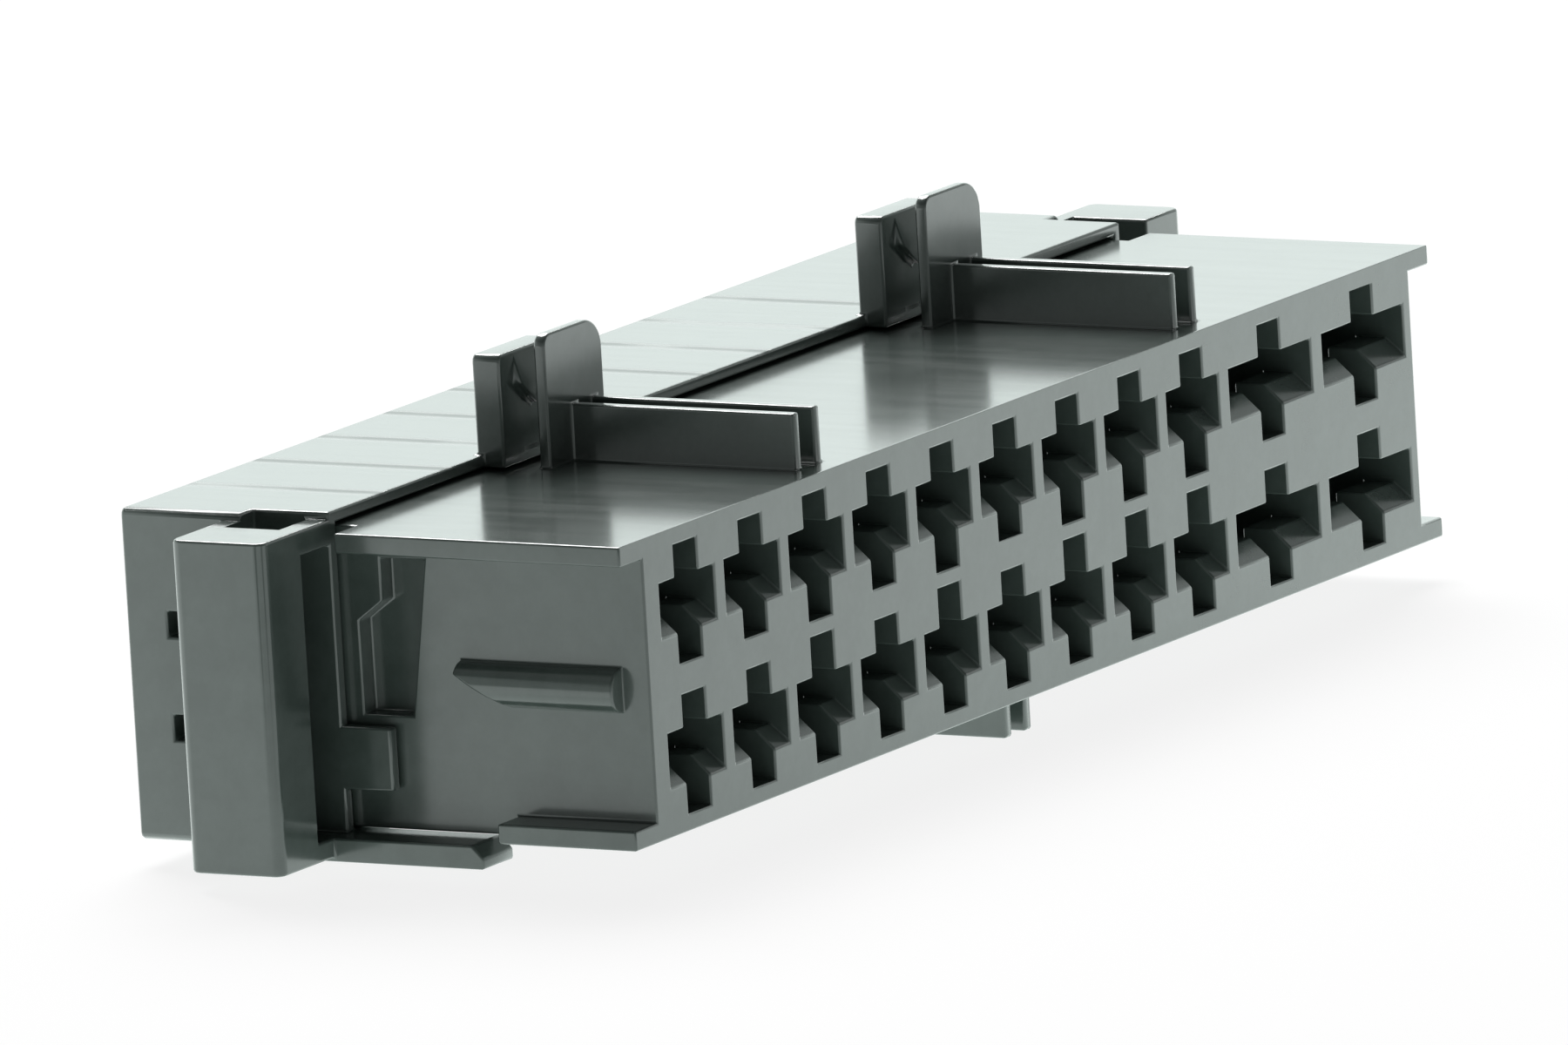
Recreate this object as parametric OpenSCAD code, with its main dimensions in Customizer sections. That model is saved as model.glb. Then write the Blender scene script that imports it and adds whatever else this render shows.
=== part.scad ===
// Two-row receptacle housing for flat tab contacts, with a rear locking collar.
// The mating face looks towards -Y, the wires leave towards +Y, and the part rests on its lower rail.

/* [Contact grid] */
// Distance between neighbouring small contacts
small_pitch = 5; // [4.8:0.1:6]
// Distance between neighbouring wide contacts
wide_pitch = 7.65; // [7.4:0.05:9]
// Distance between the upper and the lower row
row_pitch = 5.9; // [5.6:0.1:7]
// Small contacts in each row
small_columns = 9; // [8:1:14]
// Wide contacts in each row
wide_columns = 2; // [1:1:4]

/* [Cavity mouths] */
// Width of a small mouth
small_mouth_w = 4.2; // [3.4:0.1:4.4]
// Width of a wide mouth
wide_mouth_w = 6.7; // [5.6:0.1:7]
// Height of a mouth at the front face
mouth_h = 2.15; // [1.9:0.05:2.4]
// Width of the slots above and below a mouth
slot_w = 1.75; // [1.2:0.05:2.2]
// Height of the slot above a mouth
slot_up = 1.3; // [1:0.05:1.6]
// Height of the slot below a mouth
slot_down = 1.2; // [1:0.05:1.5]
// Columns, counted from the left, whose slots reach further between the rows
long_columns = [3, 5, 7, 8, 9];
// Extra reach of the slots on those columns
slot_extra = 0.3; // [0:0.05:0.4]
// Depth of the slots behind the front face
slot_depth = 9; // [4:0.5:10]
// Depth of the lead-in ramp at the foot of a mouth
ramp_depth = 0.85; // [0.4:0.05:1.2]
// Rise of the lead-in ramp
ramp_rise = 0.75; // [0.3:0.05:0.9]
// Thickness of the wall that the mouths pass through
front_wall = 2.2; // [1.6:0.1:3]
// Room of a contact chamber above and below its mouth
chamber_room = 0.55; // [0.3:0.05:0.7]

/* [Housing block] */
// Wall between the left end and the first cavity
left_wall = 1.2; // [0.8:0.1:2]
// Wall between the last cavity and the right end
right_wall = 0.6; // [0.5:0.1:2]
// Skin left above the upper slots and below the lower ones
skin = 0.7; // [0.5:0.05:1.2]
// Depth of the full-height block, from the front face to the shoulder
block_depth = 14.2; // [13.8:0.1:16]
// Depth of the neck behind the shoulder
neck_depth = 6.7; // [6:0.1:8]
// Step from the block down to the neck, above and below
neck_step = 0.6; // [0.4:0.05:0.8]
// Reach of the end flanges beyond the end walls
flange_reach = 1.7; // [1.4:0.1:2.4]
// Thickness of the end flanges
flange_t = 0.8; // [0.5:0.05:1.2]
// Depth of the lower flanges
lower_flange_depth = 6.2; // [3:0.1:6.5]

/* [Guide rails] */
// Distance from the left end to the middle of the first upper rail
rail_offset = 14.9; // [12:0.1:18]
// Columns between the two upper rails
rail_columns = 6; // [4:1:8]
// Height of the upper rails
rail_h = 2.25; // [1.2:0.05:3]
// Height of the lower rail
lower_rail_h = 1.65; // [1.3:0.05:3]
// Thickness of each rail wall
rail_wall = 0.5; // [0.4:0.05:0.8]
// Gap between the two walls of a rail
rail_gap = 1.05; // [0.8:0.05:1.4]
// Distance from the front face to the rails
rail_setback = 1.1; // [0.4:0.1:3]
// Length of the lower rail
rail_len = 10; // [8:0.1:10.2]

/* [Stop plates] */
// Width of the plate behind each upper rail
plate_w = 4.4; // [3:0.1:6]
// Height of the plate above the block
plate_h = 5.3; // [3:0.1:6]
// Thickness of the plate
plate_t = 0.5; // [0.4:0.05:0.7]
// Shift of the plate towards the left of its rail
plate_shift = 0.6; // [0:0.1:1]
// Radius of the plate's right-hand upper corner
plate_corner = 1.2; // [0.4:0.1:1.4]
// Radius of the plate's left-hand upper corner
plate_left_corner = 0.5; // [0.2:0.05:1]

/* [End walls] */
// Radius of the half-round coding rib on each end wall
rib_r = 0.9; // [0.5:0.05:1.3]
// Length of the coding rib
rib_len = 7.2; // [5:0.1:7.6]
// Length of the rib's tapered tail
rib_tail = 2.4; // [1:0.1:3.5]
// Distance from the front face to the coding rib
rib_setback = 1.2; // [0.6:0.1:1.6]
// Skin left behind the sunk latch field
field_skin = 0.35; // [0.25:0.05:0.45]
// Distance from the upper flange to the latch field
field_drop = 0.45; // [0.2:0.05:0.8]
// Height of the latch field
field_h = 6.2; // [4.5:0.1:6.6]
// Length of the latch field's upper edge
field_upper_len = 2; // [1.4:0.1:2.4]
// Length of the latch field's lower edge
field_lower_len = 2.2; // [1.4:0.1:2.6]
// Lean of the latch field from its upper to its lower edge
field_lean = 1.1; // [0.6:0.1:1.4]
// Height of the latch field's narrow upper part
field_neck = 1.7; // [1:0.1:2.4]
// Height over which the latch field widens below its narrow part
field_slant = 0.8; // [0.4:0.1:1.4]
// Side of the small catches on the neck
catch_size = 0.8; // [0.6:0.05:1.2]
// Protrusion of the catches
catch_out = 0.8; // [0.5:0.05:1]
// Distance between the two catches on one end
catch_spacing = 4.1; // [3.4:0.1:5]
// Distance from the neck's rear face to the catches
catch_setback = 1.05; // [0.6:0.05:1.4]

/* [Collar] */
// Depth of the collar along the wires
collar_depth = 8.8; // [8.4:0.1:10]
// Wall of the lip that reaches over the block
lip_wall = 0.5; // [0.4:0.05:0.9]
// Depth of the lip
lip_depth = 1.4; // [1.4:0.05:1.8]
// Travel of the collar from its open to its locked place
lock_travel = 0.6; // [0.3:0.05:0.7]
// Clearance between the collar and the housing
fit = 0.1; // [0.05:0.01:0.15]
// Rounding of the collar's long edges
collar_edge = 0.3; // [0.2:0.05:0.4]

/* [Collar grips] */
// Reach of a grip beyond the collar's end
grip_reach = 4; // [2.5:0.1:6]
// Depth of a grip
grip_depth = 4.2; // [4:0.1:5]
// Drop of the grips below the collar's top
grip_drop = 0.3; // [0.2:0.05:0.5]
// Rounding of the grip's upright edges
grip_edge = 0.45; // [0.3:0.05:0.6]
// Thickness of a grip beside its gap
grip_t = 2.9; // [2:0.1:3.2]
// Depth of the gap between a grip and the collar's end
gap_depth = 3.4; // [2.8:0.1:3.5]
// Wall between that gap and the housing
inner_wall = 0.55; // [0.4:0.05:0.8]
// Depth and height of the bridge across the left gap
bridge = 1; // [0.6:0.05:1.4]
// Length of the tongues below the end flanges
tongue_len = 6.7; // [4:0.1:7]
// Width of the tongues
tongue_w = 2.3; // [1.6:0.1:3]
// Thickness of the tongues
tongue_t = 0.95; // [0.7:0.05:1.1]
// Lead-in bevel on top of the tongue's tip
tongue_bevel = 0.5; // [0.2:0.05:0.6]
// Reach of the latch arms in front of the collar
arm_len = 2.2; // [1:0.1:2.4]
// Height of the latch arms
arm_h = 2.5; // [1.6:0.1:3]
// Distance from the latch field down to the latch arm
arm_drop = 0.4; // [0.2:0.05:0.6]

/* [Collar lugs] */
// Width of the upright lugs
lug_w = 4.4; // [3:0.1:6]
// Height of the lugs above the collar
lug_h = 4; // [3:0.1:5]
// Thickness of the lugs
lug_t = 1.25; // [0.9:0.05:1.3]
// Depth of the lugs' seat on the collar, behind its front edge
lug_seat = 0.3; // [0.2:0.05:1]
// Shift of the lugs towards the left of their rails
lug_shift = 1.5; // [0:0.1:2]
// Rounding of the lug's upper corners
lug_corner = 0.3; // [0.1:0.05:0.6]
// Reach of the snap nose on the front of each lug
nose_out = 0.35; // [0.2:0.05:0.4]
// Width of the nose
nose_w = 2.4; // [1.2:0.1:2.8]
// Height of the nose's sloped upper part
nose_slope = 1.1; // [0.6:0.05:1.4]
// Height of the nose's pointed lower part
nose_point = 1; // [0.6:0.05:1.4]
// Distance from the lug's top to the nose
nose_drop = 0.2; // [0.1:0.05:0.6]

/* [Hidden] */
$fn = 48;
// Overlap of cutting shapes beyond the faces that they cut
cut = 0.5;

small_to_wide = (small_pitch + wide_pitch) / 2;
grid_w = (small_columns - 1) * small_pitch + small_to_wide + (wide_columns - 1) * wide_pitch;
body_w = left_wall + small_mouth_w / 2 + grid_w + wide_mouth_w / 2 + right_wall;
slot_h = slot_up + mouth_h + slot_down;
body_h = skin + slot_h + row_pitch + skin;
flange_w = body_w + 2 * flange_reach;
neck_end = block_depth + neck_depth;
mid_z = body_h / 2;

first_x = -body_w / 2 + left_wall + small_mouth_w / 2;
wide_x = first_x + (small_columns - 1) * small_pitch + small_to_wide;
lower_mouth_z = skin + slot_down;
row_z = [lower_mouth_z + row_pitch, lower_mouth_z];

rail_w = 2 * rail_wall + rail_gap;
rail_x = -body_w / 2 + rail_offset;
rail_pitch = rail_columns * small_pitch;

// The collar's inner step stays clear of the shoulder over its whole travel.
collar_front = block_depth + lock_travel + 2 * fit - lip_depth;
collar_rear = collar_front + collar_depth;
collar_low = -fit - lip_wall;
collar_high = body_h + fit + lip_wall;
locked_front = collar_front - lock_travel;
upper_flange_depth = locked_front - 2 * fit;
grip_low = collar_low - grip_drop;
grip_high = collar_high - grip_drop;
gap_x = body_w / 2 + fit + inner_wall;
gap_w = flange_w / 2 + grip_reach - grip_t - gap_x;
tongue_low = -fit - tongue_t;

// The lug's nose meets the stop plate where the collar is locked.
lug_front = collar_front + lug_seat - lug_t;
plate_front = lug_front - nose_out - lock_travel - fit - plate_t;
upper_rail_len = plate_front + plate_t / 2 - rail_setback;
lug_foot = body_h + fit;
lug_top = collar_high + lug_h;

field_rear = locked_front - fit;
field_top = body_h - flange_t - field_drop;
arm_z = field_top - field_h - arm_drop - arm_h;
catch_y = neck_end - catch_setback - catch_size;

rest_drop = max(lower_rail_h, -tongue_low, -grip_low);

// Moves the part from the lower edge of its front face to its own frame
module placed()
    translate([0, -collar_rear / 2, rest_drop])
        children();

// Extrudes an outline drawn in Y and Z along X, from x to x + width
module along_x(x, width)
    translate([x, 0, 0])
        rotate([90, 0, 90])
            linear_extrude(width)
                children();

// Extrudes an outline drawn in X and Z along Y, from y to y + depth
module along_y(y, depth)
    translate([0, y + depth, 0])
        rotate([90, 0, 0])
            linear_extrude(depth)
                children();

// Draws its children on the right end and, mirrored, on the left end
module both_ends() {
    children();
    mirror([1, 0, 0])
        children();
}

// Rectangle with four round corners
module round_box(low, high, r) {
    translate([low.x + r, low.y])
        square([high.x - low.x - 2 * r, high.y - low.y]);
    translate([low.x, low.y + r])
        square([high.x - low.x, high.y - low.y - 2 * r]);
    for (x = [low.x + r, high.x - r])
        for (y = [low.y + r, high.y - r])
            translate([x, y])
                circle(r);
}

// Outline of an upright plate whose two upper corners are round
module upright(width, height, r_left, r_right) {
    square([width / 2, height - r_left]);
    translate([width / 2, 0])
        square([width / 2, height - r_right]);
    translate([r_left, 0])
        square([width - r_left - r_right, height]);
    translate([r_left, height - r_left])
        circle(r_left);
    translate([width - r_right, height - r_right])
        circle(r_right);
}

// Side outline of a cavity: mouth with its ramp, throat, and chamber to the rear
module cavity_outline()
    polygon([
        [-cut, 0],
        [0, 0],
        [ramp_depth, ramp_rise],
        [front_wall, ramp_rise],
        [front_wall, -chamber_room],
        [neck_end + cut, -chamber_room],
        [neck_end + cut, mouth_h + chamber_room],
        [front_wall, mouth_h + chamber_room],
        [front_wall, mouth_h],
        [-cut, mouth_h]
    ]);

// One cavity with its slots, measured from the mouth's lower edge
module cavity(width, extra_up, extra_down) {
    along_x(-width / 2, width)
        cavity_outline();
    translate([-slot_w / 2, -cut, -slot_down - extra_down])
        cube([slot_w, slot_depth + cut, slot_h + extra_up + extra_down]);
}

// All cavities of both rows
module cavities() {
    for (row = [0, 1]) {
        for (i = [0 : small_columns - 1]) {
            extra = len(search(i + 1, long_columns)) > 0 ? slot_extra : 0;
            translate([first_x + i * small_pitch, 0, row_z[row]])
                cavity(small_mouth_w, row * extra, (1 - row) * extra);
        }
        for (i = [0 : wide_columns - 1])
            translate([wide_x + i * wide_pitch, 0, row_z[row]])
                cavity(wide_mouth_w, 0, 0);
    }
}

// Two thin walls with a gap between them, from z to z + height
module rail(z, height, length)
    for (x = [-rail_w / 2, rail_gap / 2])
        translate([x, rail_setback, z])
            cube([rail_wall, length, height]);

// Upright plate that ends an upper rail, with one large round corner
module stop_plate()
    along_y(plate_front, plate_t)
        translate([-plate_w / 2 - plate_shift, body_h - skin / 2])
            upright(plate_w, plate_h + skin / 2, plate_left_corner, plate_corner);

// Half-round coding rib on an end wall, with a tail that tapers upwards to the rear
module coding_rib() {
    tail_y = rib_setback + rib_len - rib_tail;
    intersection() {
        translate([body_w / 2, rib_setback, mid_z])
            rotate([-90, 0, 0])
                cylinder(h = rib_len, r = rib_r);
        along_x(body_w / 2 - right_wall / 2, right_wall / 2 + rib_r)
            polygon([
                [rib_setback, mid_z - rib_r],
                [rib_setback, mid_z + rib_r],
                [rib_setback + rib_len, mid_z + rib_r],
                [rib_setback + rib_len, mid_z + rib_r / 2],
                [tail_y, mid_z - rib_r]
            ]);
    }
}

// Wedge-shaped catches on the neck, which the collar's windows snap over
module catches()
    for (side = [-1, 1])
        translate([body_w / 2, catch_y, mid_z + side * catch_spacing / 2 - catch_size / 2])
            linear_extrude(catch_size)
                polygon([
                    [-right_wall / 2, 0],
                    [catch_out, 0],
                    [catch_out, catch_size / 2],
                    [fit, catch_size],
                    [-right_wall / 2, catch_size]
                ]);

// Sunk field in an end wall, in front of the collar's latch arm
module latch_field(wall)
    along_x(body_w / 2 - wall + field_skin, wall - field_skin + cut)
        polygon([
            [field_rear, field_top - field_h],
            [field_rear - field_lower_len, field_top - field_h],
            [field_rear - field_upper_len - field_lean, field_top],
            [field_rear - field_lean, field_top],
            [field_rear - field_lean, field_top - field_neck],
            [field_rear, field_top - field_neck - field_slant]
        ]);

// Front housing: block, neck, flanges, rails and stop plates, with all cavities
module housing()
    color("dimgray")
        placed()
            difference() {
                union() {
                    translate([-body_w / 2, 0, 0])
                        cube([body_w, block_depth, body_h]);
                    translate([-body_w / 2, block_depth - skin, neck_step])
                        cube([body_w, neck_depth + skin, body_h - 2 * neck_step]);
                    translate([-flange_w / 2, 0, 0])
                        cube([flange_w, lower_flange_depth, flange_t]);
                    translate([-flange_w / 2, 0, body_h - flange_t])
                        cube([flange_w, upper_flange_depth, flange_t]);
                    for (i = [0, 1])
                        translate([rail_x + i * rail_pitch, 0, 0]) {
                            rail(body_h - skin / 2, rail_h + skin / 2, upper_rail_len);
                            stop_plate();
                        }
                    translate([rail_x + rail_pitch / 2, 0, 0])
                        rail(-lower_rail_h, lower_rail_h + skin / 2, rail_len);
                    both_ends() {
                        coding_rib();
                        catches();
                    }
                }
                cavities();
                latch_field(right_wall);
                mirror([1, 0, 0])
                    latch_field(left_wall);
            }

// Ring of the collar, before the housing's room is cut out of it
module collar_ring()
    along_y(collar_front, collar_depth)
        round_box([-flange_w / 2, collar_low], [flange_w / 2, collar_high], collar_edge);

// Room for the block inside the lip, and for the neck behind it
module housing_room() {
    room_w = body_w + 2 * fit;
    translate([-room_w / 2, collar_front - cut, -fit])
        cube([room_w, lip_depth + cut, body_h + 2 * fit]);
    translate([-room_w / 2, collar_front, neck_step - fit])
        cube([room_w, collar_depth + cut, body_h - 2 * neck_step + 2 * fit]);
}

// Grip that stands out from the collar's end, with round upright edges
module grip()
    translate([flange_w / 2 - collar_edge, collar_front + grip_depth, grip_low])
        linear_extrude(grip_high - grip_low)
            rotate(-90)
                upright(grip_depth, collar_edge + grip_reach, grip_edge, grip_edge);

// Tongue that runs forward below an end flange, with a bevelled tip
module tongue()
    along_x(flange_w / 2 - tongue_w, tongue_w)
        polygon([
            [collar_front + lip_depth / 2, -fit],
            [collar_front - tongue_len + tongue_bevel, -fit],
            [collar_front - tongue_len, -fit - tongue_bevel],
            [collar_front - tongue_len, tongue_low],
            [collar_front + lip_depth / 2, tongue_low]
        ]);

// Latch arm that carries the inner wall forward along the housing's end
module latch_arm()
    translate([body_w / 2 + fit, collar_front - arm_len, arm_z])
        cube([inner_wall, arm_len + lip_depth, arm_h]);

// Gap that frees a grip from the collar's end, open at its front and top
module grip_gap()
    translate([gap_x, collar_front - cut, -fit])
        cube([gap_w, gap_depth + cut, collar_high + fit + cut]);

// Bridge that closes the front of a grip's gap at its top
module gap_bridge()
    translate([gap_x - inner_wall / 2, collar_front, grip_high - bridge])
        cube([inner_wall / 2 + gap_w + grip_edge, bridge, bridge]);

// Windows that snap over the catches, longer than them by the travel
module catch_windows()
    for (side = [-1, 1])
        translate([
            body_w / 2 - cut,
            catch_y - fit,
            mid_z + side * catch_spacing / 2 - catch_size / 2 - fit
        ])
            cube([flange_reach + 2 * cut, catch_size + lock_travel + 2 * fit, catch_size + 2 * fit]);

// Snap nose that slopes forward from its top and ends in a point at its foot
module nose() {
    nose_top = lug_top - nose_drop;
    nose_mid = nose_top - nose_slope;
    nose_foot = nose_mid - nose_point;
    intersection() {
        along_x(-nose_w / 2, nose_w)
            polygon([
                [lug_front + lug_t / 2, nose_foot],
                [lug_front - nose_out, nose_foot],
                [lug_front - nose_out, nose_mid],
                [lug_front, nose_top],
                [lug_front + lug_t / 2, nose_top]
            ]);
        along_y(lug_front - nose_out, nose_out + lug_t / 2)
            polygon([
                [-nose_w / 2, nose_top],
                [-nose_w / 2, nose_mid],
                [0, nose_foot],
                [nose_w / 2, nose_mid],
                [nose_w / 2, nose_top]
            ]);
    }
}

// Upright lug with its snap nose towards the stop plate
module lug()
    translate([-lug_shift, 0, 0]) {
        along_y(lug_front, lug_t)
            translate([-lug_w / 2, lug_foot])
                upright(lug_w, lug_top - lug_foot, lug_corner, lug_corner);
        nose();
    }

// Locking collar: ring round the neck, grips, tongues, latch arms and lugs
module collar()
    color("slategray")
        placed() {
            difference() {
                union() {
                    collar_ring();
                    both_ends() {
                        grip();
                        tongue();
                        latch_arm();
                    }
                    for (i = [0, 1])
                        translate([rail_x + i * rail_pitch, 0, 0])
                            lug();
                }
                housing_room();
                both_ends() {
                    grip_gap();
                    catch_windows();
                }
            }
            mirror([1, 0, 0])
                gap_bridge();
        }

housing();
collar();
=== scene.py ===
import math

import bmesh
import bpy
from mathutils import Matrix, Vector


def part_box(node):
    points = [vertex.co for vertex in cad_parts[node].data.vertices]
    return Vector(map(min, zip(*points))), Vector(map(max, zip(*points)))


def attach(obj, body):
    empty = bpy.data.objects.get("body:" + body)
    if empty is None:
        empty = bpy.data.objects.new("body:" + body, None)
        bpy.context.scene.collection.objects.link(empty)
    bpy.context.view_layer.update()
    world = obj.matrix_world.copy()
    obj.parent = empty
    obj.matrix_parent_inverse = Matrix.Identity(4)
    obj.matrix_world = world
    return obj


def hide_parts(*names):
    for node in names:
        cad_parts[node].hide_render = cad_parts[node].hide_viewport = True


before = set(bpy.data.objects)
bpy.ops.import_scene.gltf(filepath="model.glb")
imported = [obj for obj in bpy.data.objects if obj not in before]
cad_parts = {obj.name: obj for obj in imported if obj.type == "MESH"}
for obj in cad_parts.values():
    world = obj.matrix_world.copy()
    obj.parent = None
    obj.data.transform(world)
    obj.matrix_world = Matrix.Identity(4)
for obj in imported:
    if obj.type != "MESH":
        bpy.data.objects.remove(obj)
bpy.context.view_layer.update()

# Front housing: one moulding of glass-filled PBT, with two rows of keyed contact cavities,
# guide rails, stop plates and end flanges. It is moulded in a steel tool, so its edges are
# crisp, broken only by a small tool radius.
MM = 0.001
HOUSING_RADIUS = 0.1 * MM
RADIUS_STEPS = 2
# An edge is broken where its faces turn by more than the sharp angle, and its radius takes at most
# this share of the shortest edge that leaves it at a corner.
SHARP_ANGLE = math.radians(35)
CORNER_ANGLE = math.radians(45)
ROOM_SHARE = 0.45
# Points nearer than the weld become one, edges shorter than a speck go, and faces that turn by
# less than the flat angle are joined.
WELD = 0.001 * MM
SPECK = 0.02 * MM
FLAT_ANGLE = math.radians(1)
PBT_BODY = "#4a5450"
PBT_CLOUD = "#56605c"
PBT_IOR = 1.6
SKIN_IOR = 1.5
SKIN_ROUGHNESS = 0.14
# The glass fibres are about 0.3 mm long, too fine to show, so they are drawn as coarser clouds.
CLOUD_SIZE = 1.6 * MM
CLOUD_RANGE = (0.35, 0.75)
# Flow lines are drawn out along Y, and change the gloss.
FLOW_WIDTH = 0.9 * MM
FLOW_STRETCH = 0.08
FLOW_RANGE = (0.3, 0.7)
FLOW_ROUGHNESS = (0.17, 0.24)
# Slow waves left by the polishing of the tool, and the fine grain of the skin
WAVE_SIZE = 5 * MM
WAVE_HEIGHT = 0.015 * MM
WAVE_STRENGTH = 0.4
GRAIN_HEIGHT = 0.002 * MM
GRAIN_STRENGTH = 0.15


def linear(hex_colour):
    """sRGB hex value as linear RGBA."""
    shares = [int(hex_colour[i : i + 2], 16) / 255 for i in (1, 3, 5)]
    return [s / 12.92 if s <= 0.04045 else ((s + 0.055) / 1.055) ** 2.4 for s in shares] + [1]


def add_node(tree, kind, settings=None, links=None):
    """One node with its settings and its incoming links. A number names an input by its place."""
    node = tree.nodes.new(kind)
    for name, value in (settings or {}).items():
        if isinstance(name, str) and hasattr(node, name):
            setattr(node, name, value)
        else:
            node.inputs[name].default_value = value
    for name, socket in (links or {}).items():
        tree.links.new(socket, node.inputs[name])
    return node


def room_beside(edge):
    """Length of the shortest edge that leaves this one at a corner of its faces."""
    along = (edge.verts[1].co - edge.verts[0].co).normalized()
    room = math.inf
    for loop in edge.link_loops:
        for beside in (loop.link_loop_prev.edge, loop.link_loop_next.edge):
            turned = (beside.verts[1].co - beside.verts[0].co).normalized()
            if abs(along.dot(turned)) < math.cos(CORNER_ANGLE):
                room = min(room, beside.calc_length())
    return room


def moulding(name, node_name, radius):
    """Copy of a CAD node with its flat faces whole and its sharp edges broken by a tool radius.

    The radius is smaller beside a step that has no room for all of it.
    """
    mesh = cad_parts[node_name].data.copy()
    mesh.materials.clear()
    bm = bmesh.new()
    bm.from_mesh(mesh)
    bmesh.ops.remove_doubles(bm, verts=bm.verts, dist=WELD)
    bmesh.ops.dissolve_degenerate(bm, dist=SPECK, edges=bm.edges)
    bmesh.ops.dissolve_limit(bm, angle_limit=FLAT_ANGLE, verts=bm.verts, edges=bm.edges)
    for face in bm.faces:
        face.smooth = True
    weights = bm.edges.layers.float.new("bevel_weight_edge")
    for edge in bm.edges:
        if edge.calc_face_angle() > SHARP_ANGLE:
            edge[weights] = min(1, ROOM_SHARE * room_beside(edge) / radius)
    bm.to_mesh(mesh)
    bm.free()
    piece = bpy.data.objects.new(name, mesh)
    bpy.context.scene.collection.objects.link(piece)
    bevel = piece.modifiers.new("tool_radius", "BEVEL")
    bevel.affect = "EDGES"
    bevel.limit_method = "WEIGHT"
    bevel.width = radius
    bevel.segments = RADIUS_STEPS
    bevel.profile = 0.5
    bevel.material = -1
    bevel.use_clamp_overlap = False
    flat = piece.modifiers.new("flat_faces", "WEIGHTED_NORMAL")
    flat.mode = "FACE_AREA"
    flat.weight = 100
    return piece


# Glass-filled PBT off a polished tool: a dark grey body under a glossy, resin-rich skin. The eye sees
# a faint cloud of glass below the skin, and flow lines that run from front to rear.
def glass_filled_pbt(name):
    material = bpy.data.materials.new(name)
    material.use_nodes = True
    tree = material.node_tree
    shader = tree.nodes["Principled BSDF"]
    shader.inputs["IOR"].default_value = PBT_IOR
    shader.inputs["Coat Weight"].default_value = 1
    shader.inputs["Coat Roughness"].default_value = SKIN_ROUGHNESS
    shader.inputs["Coat IOR"].default_value = SKIN_IOR
    place = add_node(tree, "ShaderNodeTexCoord").outputs["Object"]
    clouds = add_node(
        tree, "ShaderNodeTexNoise",
        {"Scale": 1 / CLOUD_SIZE, "Detail": 4, "Roughness": 0.6},
        {"Vector": place},
    )
    stretched = add_node(tree, "ShaderNodeMapping", {"Scale": (1, FLOW_STRETCH, 1)}, {"Vector": place})
    flow = add_node(
        tree, "ShaderNodeTexNoise",
        {"Scale": 1 / FLOW_WIDTH, "Detail": 3, "Roughness": 0.55},
        {"Vector": stretched.outputs["Vector"]},
    )
    waves = add_node(
        tree, "ShaderNodeTexNoise",
        {"Scale": 1 / WAVE_SIZE, "Detail": 1},
        {"Vector": stretched.outputs["Vector"]},
    )
    cloud_share = add_node(
        tree, "ShaderNodeMapRange",
        {"From Min": CLOUD_RANGE[0], "From Max": CLOUD_RANGE[1]},
        {"Value": clouds.outputs["Fac"]},
    )
    colour = add_node(
        tree, "ShaderNodeMix",
        {"data_type": "RGBA", 6: linear(PBT_BODY), 7: linear(PBT_CLOUD)},
        {0: cloud_share.outputs["Result"]},
    )
    gloss = add_node(
        tree, "ShaderNodeMapRange",
        {"From Min": FLOW_RANGE[0], "From Max": FLOW_RANGE[1],
         "To Min": FLOW_ROUGHNESS[0], "To Max": FLOW_ROUGHNESS[1]},
        {"Value": flow.outputs["Fac"]},
    )
    wave_bump = add_node(
        tree, "ShaderNodeBump",
        {"Strength": WAVE_STRENGTH, "Distance": WAVE_HEIGHT},
        {"Height": waves.outputs["Fac"]},
    )
    grain_bump = add_node(
        tree, "ShaderNodeBump",
        {"Strength": GRAIN_STRENGTH, "Distance": GRAIN_HEIGHT},
        {"Height": clouds.outputs["Fac"], "Normal": wave_bump.outputs["Normal"]},
    )
    tree.links.new(colour.outputs[2], shader.inputs["Base Color"])
    tree.links.new(gloss.outputs["Result"], shader.inputs["Roughness"])
    tree.links.new(grain_bump.outputs["Normal"], shader.inputs["Normal"])
    tree.links.new(grain_bump.outputs["Normal"], shader.inputs["Coat Normal"])
    return material


housing = moulding("housing_moulding", "housing", HOUSING_RADIUS)
housing.data.materials.append(glass_filled_pbt("glass_filled_pbt_housing"))
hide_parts("housing")
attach(housing, "housing_body")

# Locking collar: a second moulding of the same PBT, which snaps round the housing's neck. Its thin
# top has sunk a little over the rib behind each small contact, so a row of faint, duller lines
# crosses it, broken here and there.
COLLAR_RADIUS = 0.12 * MM
COLLAR_TOP = 14.2 * MM
TOP_TOLERANCE = 0.1 * MM
SINK_PITCH = 5 * MM
SINK_LINES = 9
SINK_WIDTH = 1.3 * MM
SINK_DEPTH = 0.012 * MM
SINK_DULL = 0.8
# Size of the stretches in which a line fades, and the noise values between which it does
FADE_SIZE = 6 * MM
FADE_RANGE = (0.25, 0.5)
# The wave texture's bands repeat every pi / 10 of its own units.
BAND_PERIOD = math.pi / 10
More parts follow.
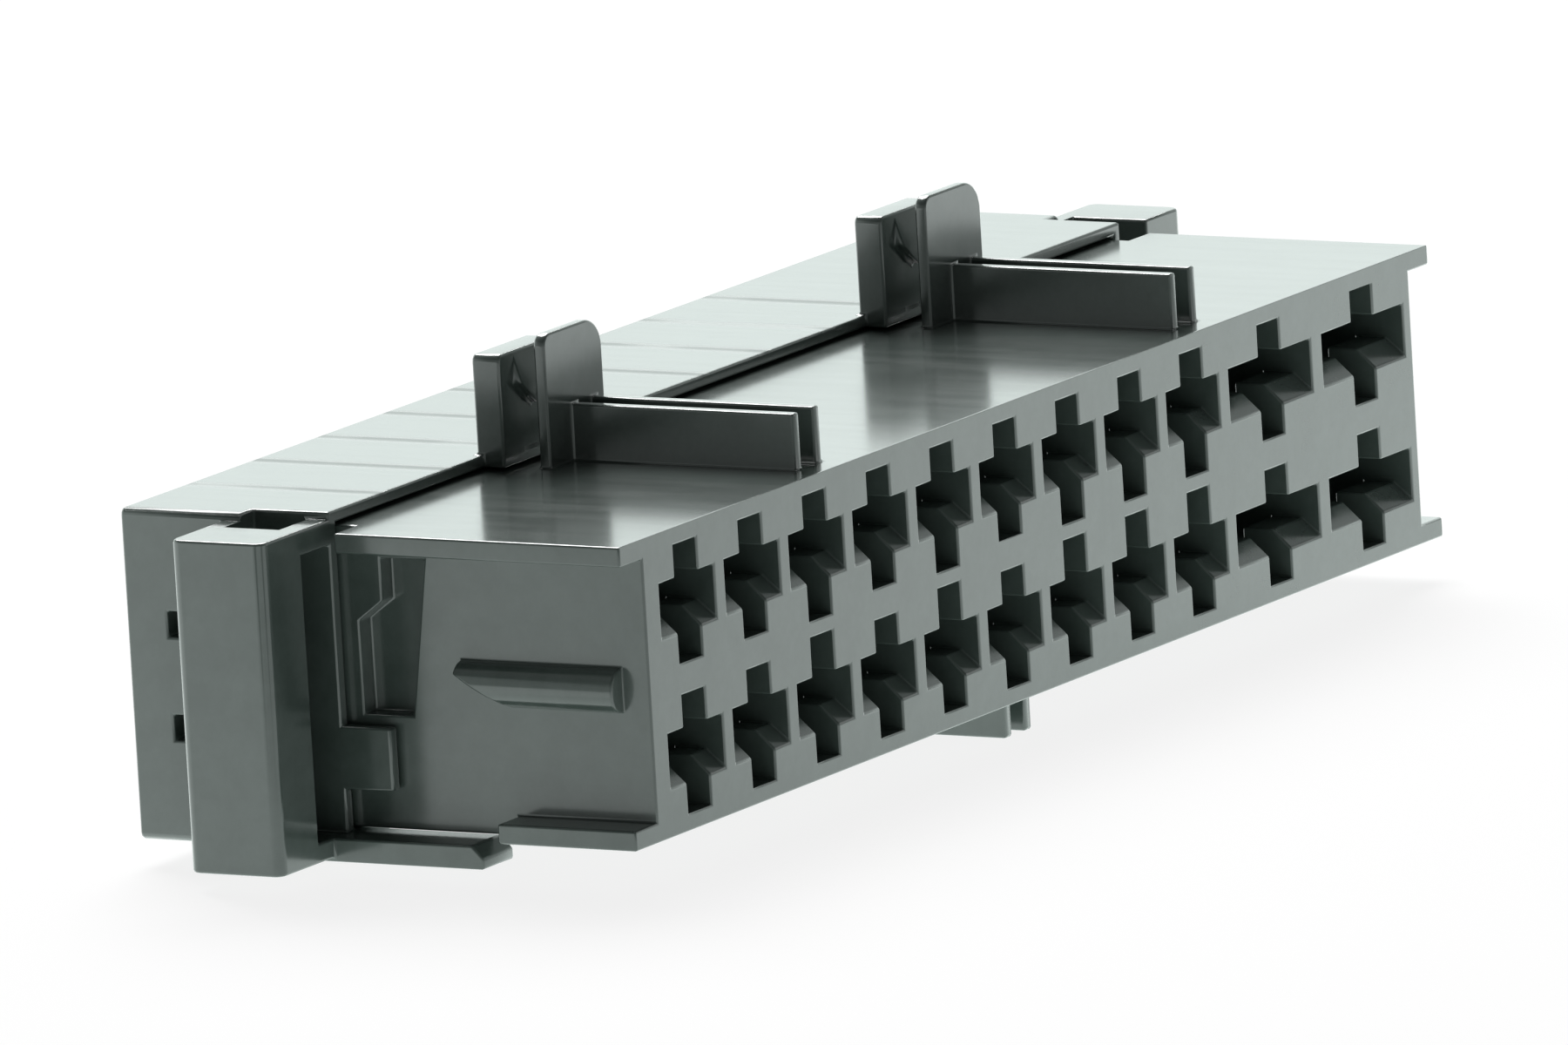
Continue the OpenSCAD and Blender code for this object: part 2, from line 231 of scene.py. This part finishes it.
# The first line lies behind the first small contact, this far from the tip of the left flange.
FIRST_CONTACT = 5 * MM
sink_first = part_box("housing")[0].x + FIRST_CONTACT
sink_end = sink_first + (SINK_LINES - 0.5) * SINK_PITCH
collar = moulding("collar_moulding", "collar", COLLAR_RADIUS)
collar_pbt = glass_filled_pbt("glass_filled_pbt_collar")
collar_tree = collar_pbt.node_tree
collar_shader = collar_tree.nodes["Principled BSDF"]
skin = collar_shader.inputs["Normal"].links[0].from_socket
gloss = collar_shader.inputs["Roughness"].links[0].from_socket
place = add_node(collar_tree, "ShaderNodeTexCoord").outputs["Object"]
axes = add_node(collar_tree, "ShaderNodeSeparateXYZ", {}, {0: place})
on_top = add_node(
    collar_tree, "ShaderNodeMath",
    {"operation": "COMPARE", 1: COLLAR_TOP, 2: TOP_TOLERANCE},
    {0: axes.outputs["Z"]},
)
over_small = add_node(
    collar_tree, "ShaderNodeMath", {"operation": "LESS_THAN", 1: sink_end}, {0: axes.outputs["X"]}
)
fading = add_node(
    collar_tree, "ShaderNodeTexNoise", {"Scale": 1 / FADE_SIZE, "Detail": 1}, {"Vector": place}
)
fade = add_node(
    collar_tree, "ShaderNodeMapRange",
    {"From Min": FADE_RANGE[0], "From Max": FADE_RANGE[1]},
    {"Value": fading.outputs["Fac"]},
)
# The bands are 0 at the middle of a line.
bands = add_node(
    collar_tree, "ShaderNodeTexWave",
    {"bands_direction": "X", "wave_profile": "TRI", "Scale": BAND_PERIOD / SINK_PITCH,
     "Phase Offset": -2 * math.pi * sink_first / SINK_PITCH},
    {"Vector": place},
)
sunk = add_node(
    collar_tree, "ShaderNodeMapRange",
    {"interpolation_type": "SMOOTHSTEP", "From Max": SINK_WIDTH / SINK_PITCH, "To Min": -1, "To Max": 0},
    {"Value": bands.outputs["Fac"]},
)
share = add_node(
    collar_tree, "ShaderNodeMath",
    {"operation": "MULTIPLY"},
    {0: on_top.outputs[0], 1: over_small.outputs[0]},
)
faded = add_node(
    collar_tree, "ShaderNodeMath", {"operation": "MULTIPLY"}, {0: share.outputs[0], 1: fade.outputs[0]}
)
sink = add_node(
    collar_tree, "ShaderNodeMath", {"operation": "MULTIPLY"}, {0: faded.outputs[0], 1: sunk.outputs[0]}
)
sink_bump = add_node(
    collar_tree, "ShaderNodeBump",
    {"Strength": 1, "Distance": SINK_DEPTH},
    {"Height": sink.outputs[0], "Normal": skin},
)
dull = add_node(
    collar_tree, "ShaderNodeMath",
    {"operation": "MULTIPLY_ADD", 1: -SINK_DULL},
    {0: sink.outputs[0], 2: gloss},
)
collar_tree.links.new(dull.outputs[0], collar_shader.inputs["Roughness"])
collar_tree.links.new(sink_bump.outputs["Normal"], collar_shader.inputs["Normal"])
collar_tree.links.new(sink_bump.outputs["Normal"], collar_shader.inputs["Coat Normal"])
collar.data.materials.append(collar_pbt)
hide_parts("collar")
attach(collar, "collar_body")

# Camera: a long lens, low in front of the left end and slightly rolled, as the photo was taken. Its
# angles, distance and aim are fitted to the contact grid in the photo.
VIEW_AZIMUTH = math.radians(59.3947)
VIEW_ELEVATION = math.radians(10.5949)
VIEW_ROLL = math.radians(-3.3768)
VIEW_DISTANCE = 1.205
LENS = 700
SENSOR = 36
AIM = Vector((-0.56, -0.09, 8.04)) * MM
# Fine correction of the aim, to the right and up in the picture
AIM_RIGHT = -0.1961 * MM
AIM_UP = -0.0122 * MM
across = Vector((math.cos(VIEW_AZIMUTH), -math.sin(VIEW_AZIMUTH), 0))
forward = Vector((
    math.sin(VIEW_AZIMUTH) * math.cos(VIEW_ELEVATION),
    math.cos(VIEW_AZIMUTH) * math.cos(VIEW_ELEVATION),
    -math.sin(VIEW_ELEVATION),
))
upward = across.cross(forward)
image_right = math.cos(VIEW_ROLL) * across + math.sin(VIEW_ROLL) * upward
image_up = math.cos(VIEW_ROLL) * upward - math.sin(VIEW_ROLL) * across
target = AIM + AIM_RIGHT * image_right + AIM_UP * image_up
camera_data = bpy.data.cameras.new("photo_camera")
camera_data.lens = LENS
camera_data.sensor_width = SENSOR
camera = bpy.data.objects.new("photo_camera", camera_data)
camera_turn = Matrix((image_right, image_up, -forward)).transposed().to_4x4()
camera.matrix_world = Matrix.Translation(target - VIEW_DISTANCE * forward) @ camera_turn
bpy.context.scene.collection.objects.link(camera)
bpy.context.scene.camera = camera

# Floor: a sheet of matt white paper under the part, wide enough to fill every view. The camera sees it
# white, with the part's soft shadow. The part sees it glow, and more so towards the light side.
FLOOR_SIZE = 8
PAPER_WHITE = "#f2f2f2"
PAPER_ROUGHNESS = 0.9
COOL_WHITE = "#eff9f6"
LIGHT_AZIMUTH = math.radians(57)
TOWARD_LIGHT = (math.cos(LIGHT_AZIMUTH), math.sin(LIGHT_AZIMUTH), 0)
# The glow grows from its first to its last strength between two places along the light's direction.
GLOW_STRENGTH = (0.82, 1.66)
GLOW_PLACE = (-60 * MM, 20 * MM)
GLOW_SHARE = 0.85
floor_mesh = bpy.data.meshes.new("floor_sheet")
bm = bmesh.new()
bmesh.ops.create_grid(bm, x_segments=1, y_segments=1, size=FLOOR_SIZE / 2)
bm.to_mesh(floor_mesh)
bm.free()
floor = bpy.data.objects.new("floor_sheet", floor_mesh)
bpy.context.scene.collection.objects.link(floor)
paper = bpy.data.materials.new("matt_white_paper")
paper.use_nodes = True
paper_tree = paper.node_tree
paper_shader = paper_tree.nodes["Principled BSDF"]
paper_shader.inputs["Base Color"].default_value = linear(PAPER_WHITE)
paper_shader.inputs["Roughness"].default_value = PAPER_ROUGHNESS
floor_ray = add_node(paper_tree, "ShaderNodeLightPath")
floor_place = add_node(paper_tree, "ShaderNodeTexCoord")
along_light = add_node(
    paper_tree, "ShaderNodeVectorMath",
    {"operation": "DOT_PRODUCT", 1: TOWARD_LIGHT},
    {0: floor_place.outputs["Object"]},
)
glow_strength = add_node(
    paper_tree, "ShaderNodeMapRange",
    {"interpolation_type": "SMOOTHSTEP", "From Min": GLOW_PLACE[0], "From Max": GLOW_PLACE[1],
     "To Min": GLOW_STRENGTH[0], "To Max": GLOW_STRENGTH[1]},
    {"Value": along_light.outputs["Value"]},
)
glow = add_node(
    paper_tree, "ShaderNodeEmission",
    {"Color": linear(COOL_WHITE)},
    {"Strength": glow_strength.outputs["Result"]},
)
floor_white = add_node(paper_tree, "ShaderNodeEmission", {"Color": (1, 1, 1, 1), "Strength": 1})
floor_seen = add_node(
    paper_tree, "ShaderNodeMixShader", {},
    {0: floor_ray.outputs["Is Camera Ray"], 1: glow.outputs[0], 2: floor_white.outputs[0]},
)
floor_mix = add_node(
    paper_tree, "ShaderNodeMixShader",
    {0: GLOW_SHARE},
    {1: paper_shader.outputs[0], 2: floor_seen.outputs[0]},
)
paper_tree.links.new(floor_mix.outputs[0], paper_tree.nodes["Material Output"].inputs["Surface"])
floor_mesh.materials.append(paper)

# World: a white room. The camera sees it plain white. Reflections see it bright up to a low height and
# dim above, and dimmer away from the light side. The rest of the light is a faint even fill.
FILL_STRENGTH = 0.06
# The room's strength below and above the heights at which it changes, as sines of the elevation
ROOM_STRENGTH = (1.28, 0.35)
ROOM_HEIGHT = (0.3, 0.6)
# The share of it that is left away from the light and towards it, as cosines of the angle to the light
SIDE_SHARE = (0.3, 1)
SIDE_COSINE = (-0.2, 0.7)
world = bpy.data.worlds.new("white_room")
bpy.context.scene.world = world
world.use_nodes = True
room_tree = world.node_tree
fill = room_tree.nodes["Background"]
fill.inputs["Color"].default_value = (1, 1, 1, 1)
fill.inputs["Strength"].default_value = FILL_STRENGTH
room_ray = add_node(room_tree, "ShaderNodeLightPath")
direction = add_node(room_tree, "ShaderNodeTexCoord")
height = add_node(room_tree, "ShaderNodeSeparateXYZ", {}, {0: direction.outputs["Generated"]})
room = add_node(
    room_tree, "ShaderNodeMapRange",
    {"interpolation_type": "SMOOTHSTEP", "From Min": ROOM_HEIGHT[0], "From Max": ROOM_HEIGHT[1],
     "To Min": ROOM_STRENGTH[0], "To Max": ROOM_STRENGTH[1]},
    {"Value": height.outputs["Z"]},
)
to_light = add_node(
    room_tree, "ShaderNodeVectorMath",
    {"operation": "DOT_PRODUCT", 1: TOWARD_LIGHT},
    {0: direction.outputs["Generated"]},
)
lit_side = add_node(
    room_tree, "ShaderNodeMapRange",
    {"interpolation_type": "SMOOTHSTEP", "From Min": SIDE_COSINE[0], "From Max": SIDE_COSINE[1],
     "To Min": SIDE_SHARE[0], "To Max": SIDE_SHARE[1]},
    {"Value": to_light.outputs["Value"]},
)
room_strength = add_node(
    room_tree, "ShaderNodeMath",
    {"operation": "MULTIPLY"},
    {0: room.outputs["Result"], 1: lit_side.outputs["Result"]},
)
reflected = add_node(
    room_tree, "ShaderNodeBackground", {"Color": linear(COOL_WHITE)}, {"Strength": room_strength.outputs[0]}
)
room_white = add_node(room_tree, "ShaderNodeBackground", {"Color": (1, 1, 1, 1), "Strength": 1})
glossy = add_node(
    room_tree, "ShaderNodeMixShader", {},
    {0: room_ray.outputs["Is Glossy Ray"], 1: fill.outputs[0], 2: reflected.outputs[0]},
)
room_seen = add_node(
    room_tree, "ShaderNodeMixShader", {},
    {0: room_ray.outputs["Is Camera Ray"], 1: glossy.outputs[0], 2: room_white.outputs[0]},
)
room_tree.links.new(room_seen.outputs[0], room_tree.nodes["World Output"].inputs["Surface"])

# Lamps: two square soft boxes, aimed at the part and hidden from the camera. A wide one, high at the
# right and rear, lights the tops and casts the shadow. A faint one stands lower in front.
for lamp_name, stand, lamp_size, watts in (
    ("overhead_soft_box", Vector((0.5, 0.4, 0.8)), 0.7, 16),
    ("front_soft_box", Vector((0.5, -0.6, 0.3)), 0.4, 0.3),
):
    lamp_data = bpy.data.lights.new(lamp_name, "AREA")
    lamp_data.shape = "SQUARE"
    lamp_data.size = lamp_size
    lamp_data.energy = watts
    lamp = bpy.data.objects.new(lamp_name, lamp_data)
    lamp_turn = (target - stand).to_track_quat("-Z", "Y").to_matrix().to_4x4()
    lamp.matrix_world = Matrix.Translation(stand) @ lamp_turn
    lamp.visible_camera = False
    bpy.context.scene.collection.objects.link(lamp)

bpy.context.scene.view_settings.view_transform = "Standard"
